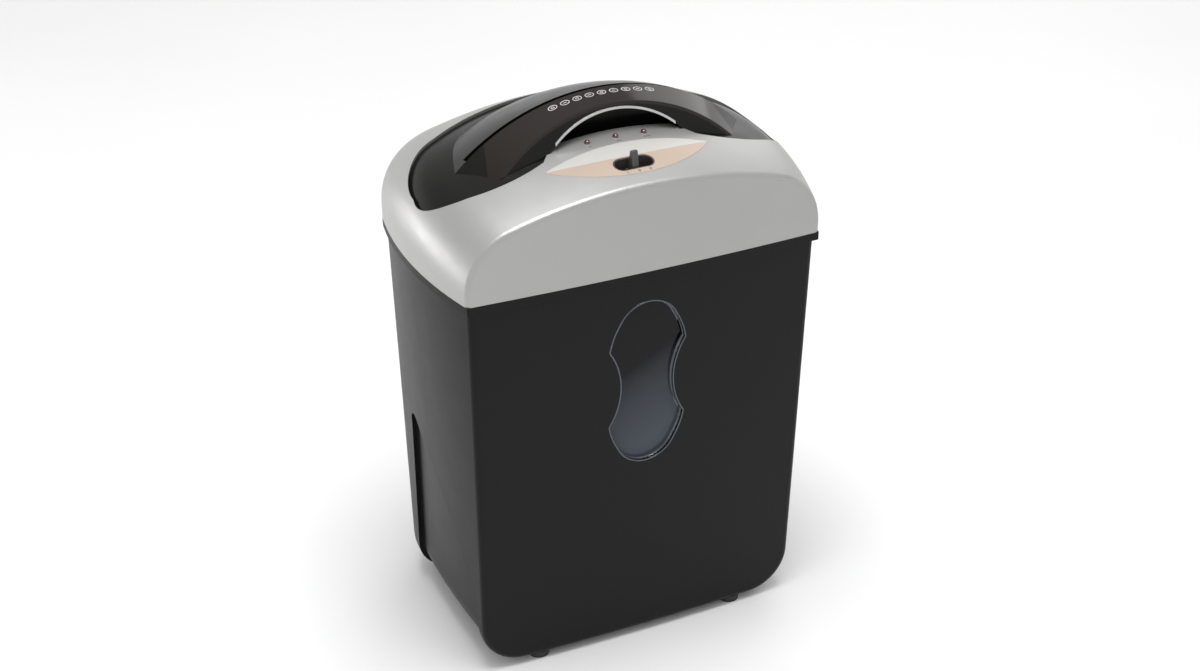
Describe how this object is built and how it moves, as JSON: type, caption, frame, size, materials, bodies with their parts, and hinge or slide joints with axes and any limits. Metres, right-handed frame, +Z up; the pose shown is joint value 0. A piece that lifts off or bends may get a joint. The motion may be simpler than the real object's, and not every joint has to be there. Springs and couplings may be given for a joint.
{
  "type": "paper shredder",
  "caption": "Desk-side cross-cut paper shredder: lift-off powered head with arched paper slot, smoked guard and slide switch on a tapered waste bin with a window.",
  "frame": {"origin": "on the floor under the middle of the machine's plan", "axes": "+Z up, front towards -Y, +X to the right seen from the front"},
  "size_m": [0.3306, 0.228, 0.4759],
  "materials": {
    "bin_plastic": "fine-grained black ABS",
    "window_smoke": "smoked clear acrylic",
    "foot_rubber": "soft rubber",
    "base_plastic": "black ABS",
    "silver_plastic": "satin metallic silver coat on ABS",
    "throat_plastic": "semi-gloss black ABS",
    "guard_smoke": "smoked polycarbonate",
    "trim_bright": "bright silver coat",
    "leaf_light": "pale satin",
    "leaf_warm": "warm beige satin",
    "led_red": "dark red lens",
    "knob_grey": "dark grey ABS",
    "bezel_grey": "dark grey ABS",
    "steel": "machined steel",
    "zinc_plate": "zinc plated steel sheet",
    "bronze": "sintered bronze",
    "nylon": "natural nylon",
    "motor_steel": "dark coated steel",
    "board_green": "solder mask",
    "part_black": "moulded component"
  },
  "bodies": {
    "bin": {"bin_body": "bin_plastic", "bin_window": "window_smoke", "bin_feet": "foot_rubber"},
    "head": {"head_base": "base_plastic", "top_cover": "silver_plastic", "throat_insert": "throat_plastic", "slot_guard": "guard_smoke", "grip_trim": "trim_bright", "paper_chute": "base_plastic", "leaf_upper": "leaf_light", "leaf_lower": "leaf_warm", "led_lens_1": "led_red", "led_lens_2": "led_red", "led_lens_3": "led_red", "indicator_board": "board_green", "switch_bezel": "bezel_grey", "mode_switch": "zinc_plate", "left_side_plate": "zinc_plate", "right_side_plate": "zinc_plate", "left_bushes": "bronze", "right_bushes": "bronze", "tie_rods": "steel", "plate_screws": "steel", "front_stripper_comb": "nylon", "back_stripper_comb": "nylon", "idler_axle": "steel", "gear_cover": "zinc_plate", "motor_can": "motor_steel", "motor_end_cap": "part_black", "interlock_spring": "steel", "interlock_switch": "part_black", "flag_pin": "steel", "flag_bracket": "base_plastic", "paper_sensor": "part_black", "control_board": "board_green", "board_stand_offs": "nylon", "run_capacitor": "motor_steel", "relays": "part_black", "transformer": "motor_steel", "cover_screws": "steel", "block_bolts": "steel", "cord_gland": "foot_rubber"},
    "back_cutter": {"back_cutter_shaft": "steel", "back_cutter_discs": "steel", "back_sync_gear": "steel", "final_gear": "steel"},
    "front_cutter": {"front_cutter_shaft": "steel", "front_cutter_discs": "steel", "front_sync_gear": "steel"},
    "reduction": {"reduction_gear": "nylon"},
    "rotor": {"motor_rotor": "steel", "motor_fan": "part_black", "motor_pinion": "steel"},
    "knob": {"mode_knob": "knob_grey"},
    "plunger": {"interlock_plunger": "nylon"},
    "flag": {"paper_flag": "part_black"}
  },
  "joints": [
    {"name": "head_lift", "type": "slide", "parent": "bin", "child": "head", "axis": [0, 0, 1], "range_m": [0, 0.3]},
    {"name": "back_cutter_spin", "type": "hinge", "parent": "head", "child": "back_cutter", "pos_m": [0, -0.001, 0.386], "axis": [1, 0, 0], "continuous": true},
    {"name": "front_cutter_spin", "type": "hinge", "parent": "head", "child": "front_cutter", "pos_m": [0, -0.033, 0.386], "axis": [1, 0, 0], "continuous": true},
    {"name": "reduction_spin", "type": "hinge", "parent": "head", "child": "reduction", "pos_m": [0, 0.03779, 0.382], "axis": [1, 0, 0], "continuous": true},
    {"name": "rotor_spin", "type": "hinge", "parent": "head", "child": "rotor", "pos_m": [0, 0.066, 0.39222], "axis": [1, 0, 0], "continuous": true},
    {"name": "mode_slide", "type": "slide", "parent": "head", "child": "knob", "axis": [1, 0, 0], "range_m": [-0.008, 0.008]},
    {"name": "interlock_press", "type": "slide", "parent": "head", "child": "plunger", "axis": [0, 0, 1], "range_m": [0, 0.003], "stiffness_N_per_m": 250, "deforming": ["interlock_spring"]},
    {"name": "flag_tilt", "type": "hinge", "parent": "head", "child": "flag", "pos_m": [0, -0.003, 0.43], "axis": [1, 0, 0], "range_deg": [0, 38], "stiffness_Nm_per_rad": 0.004, "springref_deg": -17.19}
  ],
  "couplings": [
    {"joint": "front_cutter_spin", "follows": "back_cutter_spin", "ratio": -1},
    {"joint": "reduction_spin", "follows": "back_cutter_spin", "ratio": -3.3333},
    {"joint": "rotor_spin", "follows": "back_cutter_spin", "ratio": 16.667}
  ]
}
